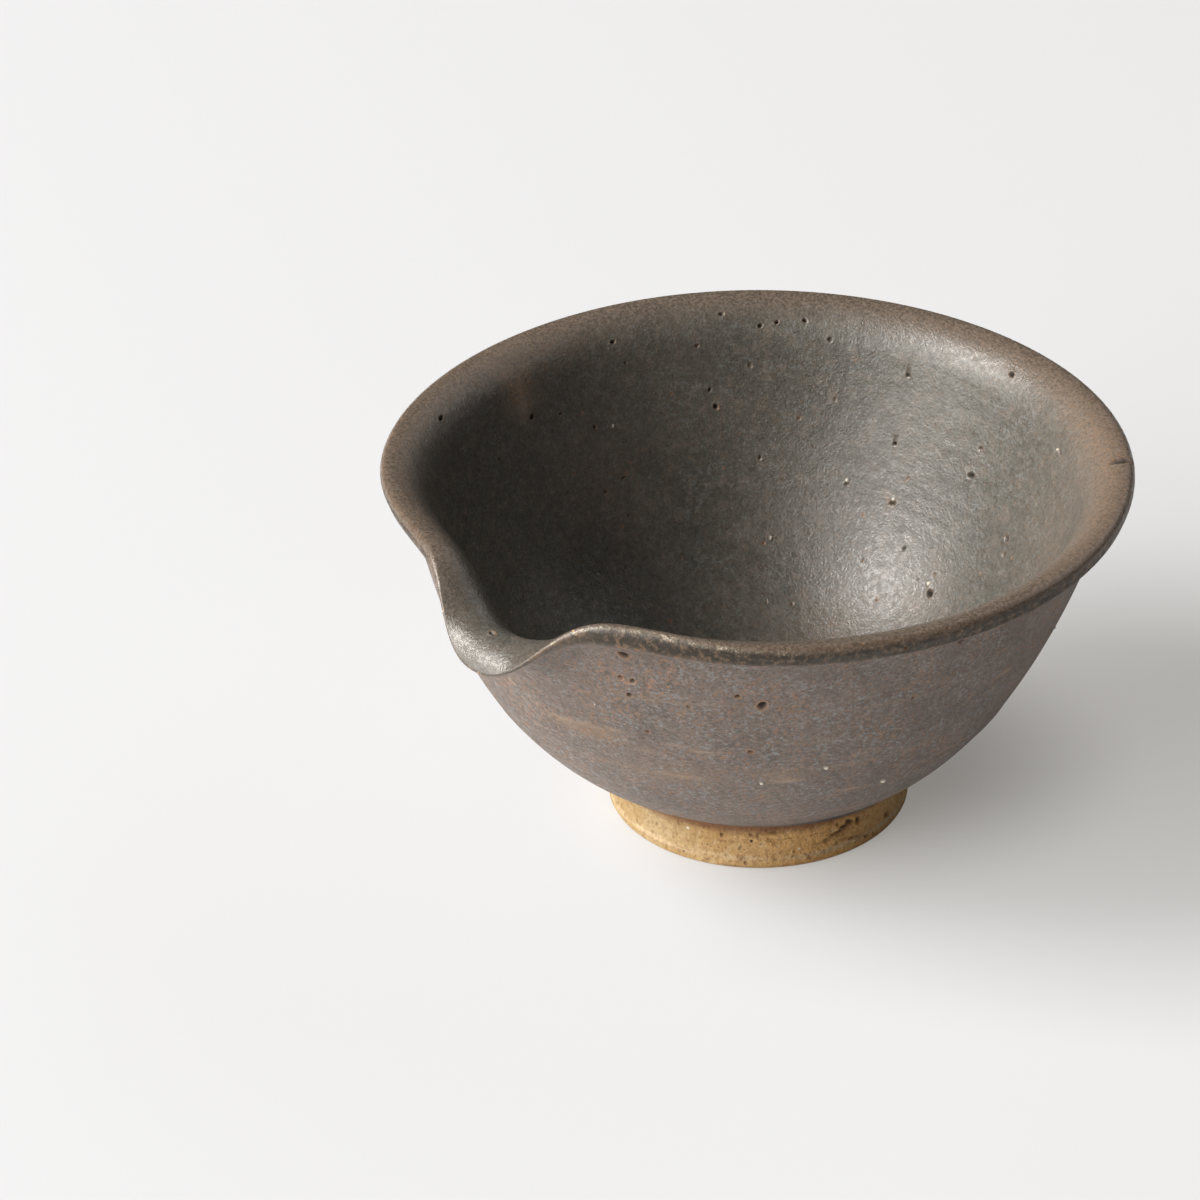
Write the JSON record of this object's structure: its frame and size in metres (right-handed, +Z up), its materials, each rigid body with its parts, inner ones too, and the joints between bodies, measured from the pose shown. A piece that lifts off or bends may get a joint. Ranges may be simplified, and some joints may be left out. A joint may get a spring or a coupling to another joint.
{
  "type": "yuzamashi",
  "caption": "Round footed bowl with an everted lip and a pulled pouring spout, for cooling hot water before it is poured on tea leaves.",
  "frame": {"origin": "on the surface that the foot stands on, under the middle of the overall length, spout included", "axes": "+Z up, spout towards -Y, X across the bowl"},
  "size_m": [0.1198, 0.1238, 0.0618],
  "materials": {
    "bare_clay": "unglazed sandy stoneware",
    "iron_glaze": "satin iron glaze, dark grey-brown"
  },
  "bodies": {
    "root": {"clay_body": "bare_clay", "glaze_coat": "iron_glaze"}
  },
  "joints": []
}
